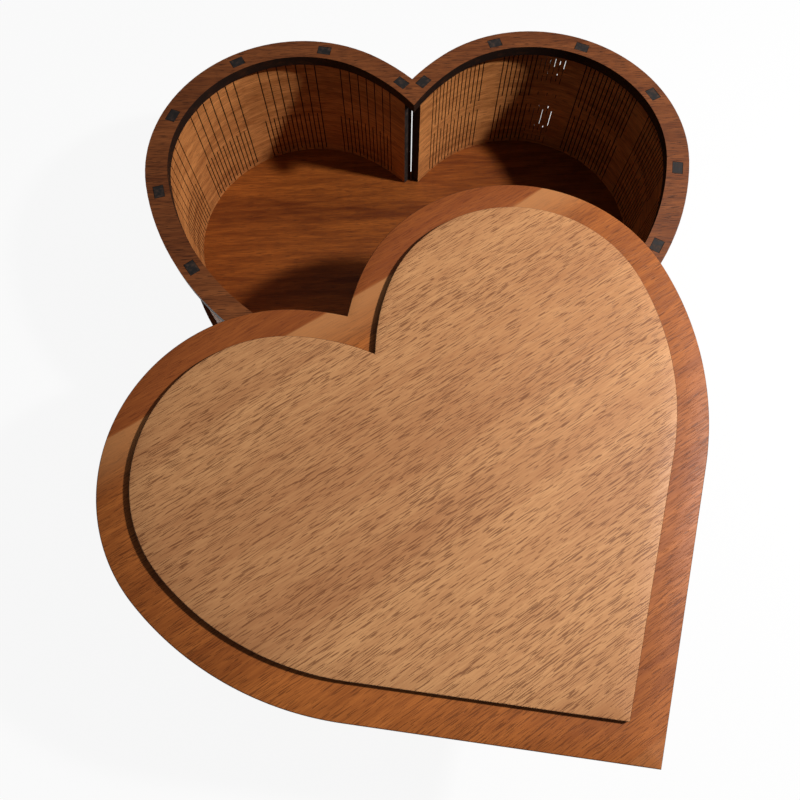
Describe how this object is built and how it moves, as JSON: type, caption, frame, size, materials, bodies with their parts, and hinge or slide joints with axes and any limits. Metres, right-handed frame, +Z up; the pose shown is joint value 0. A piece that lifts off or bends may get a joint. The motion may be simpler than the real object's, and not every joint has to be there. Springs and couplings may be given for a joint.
{
  "type": "wind up music box",
  "caption": "Heart-shaped wooden music box with bent tabbed walls, a loose heart lid lying turned on the rim and a key-wound movement inside the front wall.",
  "frame": {"origin": "on the underside of the base plate, midway between the two lobe centres", "axes": "+Z up, +Y towards the lobes, tip of the heart at -Y"},
  "size_m": [0.1597, 0.2031, 0.0505],
  "materials": {
    "case_wood": "oiled ply, grain across, charred laser-cut edges",
    "lid_wood": "oiled ply, satin",
    "plug_wood": "paler ply with dark pores, satin",
    "zinc": "die cast, satin",
    "brass": "polished",
    "steel": "brushed"
  },
  "bodies": {
    "case": {"base_plate": "case_wood", "wall_left": "case_wood", "wall_right": "case_wood", "rim_plate": "case_wood", "bedplate": "zinc", "near_bearing_plate": "zinc", "far_bearing_plate": "zinc", "governor_bearing_plate": "zinc", "comb_bed": "zinc", "comb": "steel", "comb_screws": "steel", "movement_screws": "steel"},
    "lid": {"lid_panel": "lid_wood", "lid_plug": "plug_wood"},
    "winder": {"winding_key": "brass", "winding_arbor": "steel"},
    "barrel": {"spring_barrel": "brass", "barrel_crown": "brass", "mainspring": "steel"},
    "cylinder": {"cylinder_sleeve": "brass", "tune_pins": "steel", "cylinder_arbor": "steel", "cylinder_pinion": "brass", "cylinder_wheel": "brass"},
    "idler": {"idler_arbor": "steel", "idler_pinion": "brass", "idler_wheel": "brass"},
    "governor": {"fan_arbor": "steel", "fan_pinion": "brass", "air_brake_fan": "brass"}
  },
  "joints": [
    {"name": "lid_lift", "type": "slide", "parent": "case", "child": "lid", "axis": [0, 0, 1], "range_m": [0, 0.12]},
    {"name": "key_wind", "type": "hinge", "parent": "case", "child": "winder", "pos_m": [0.0365, -0.05992, 0.0185], "axis": [-0.6494, 0.7604, 0], "range_deg": [0, 1170]},
    {"name": "cylinder_spin", "type": "hinge", "parent": "case", "child": "cylinder", "pos_m": [0.02686, -0.04863, 0.0185], "axis": [-0.7604, -0.6494, 0], "continuous": true},
    {"name": "barrel_spin", "type": "hinge", "parent": "case", "child": "barrel", "pos_m": [0.0365, -0.05992, 0.0185], "axis": [-0.6494, 0.7604, 0], "continuous": true},
    {"name": "idler_spin", "type": "hinge", "parent": "case", "child": "idler", "pos_m": [0.03082, -0.05327, 0.02578], "axis": [-0.7604, -0.6494, 0], "continuous": true},
    {"name": "fan_spin", "type": "hinge", "parent": "case", "child": "governor", "pos_m": [0.02922, -0.0514, 0.03254], "axis": [-0.7604, -0.6494, 0], "continuous": true}
  ],
  "couplings": [
    {"joint": "barrel_spin", "follows": "cylinder_spin", "ratio": 0.46154},
    {"joint": "idler_spin", "follows": "cylinder_spin", "ratio": -2.8},
    {"joint": "fan_spin", "follows": "cylinder_spin", "ratio": 9.8}
  ]
}
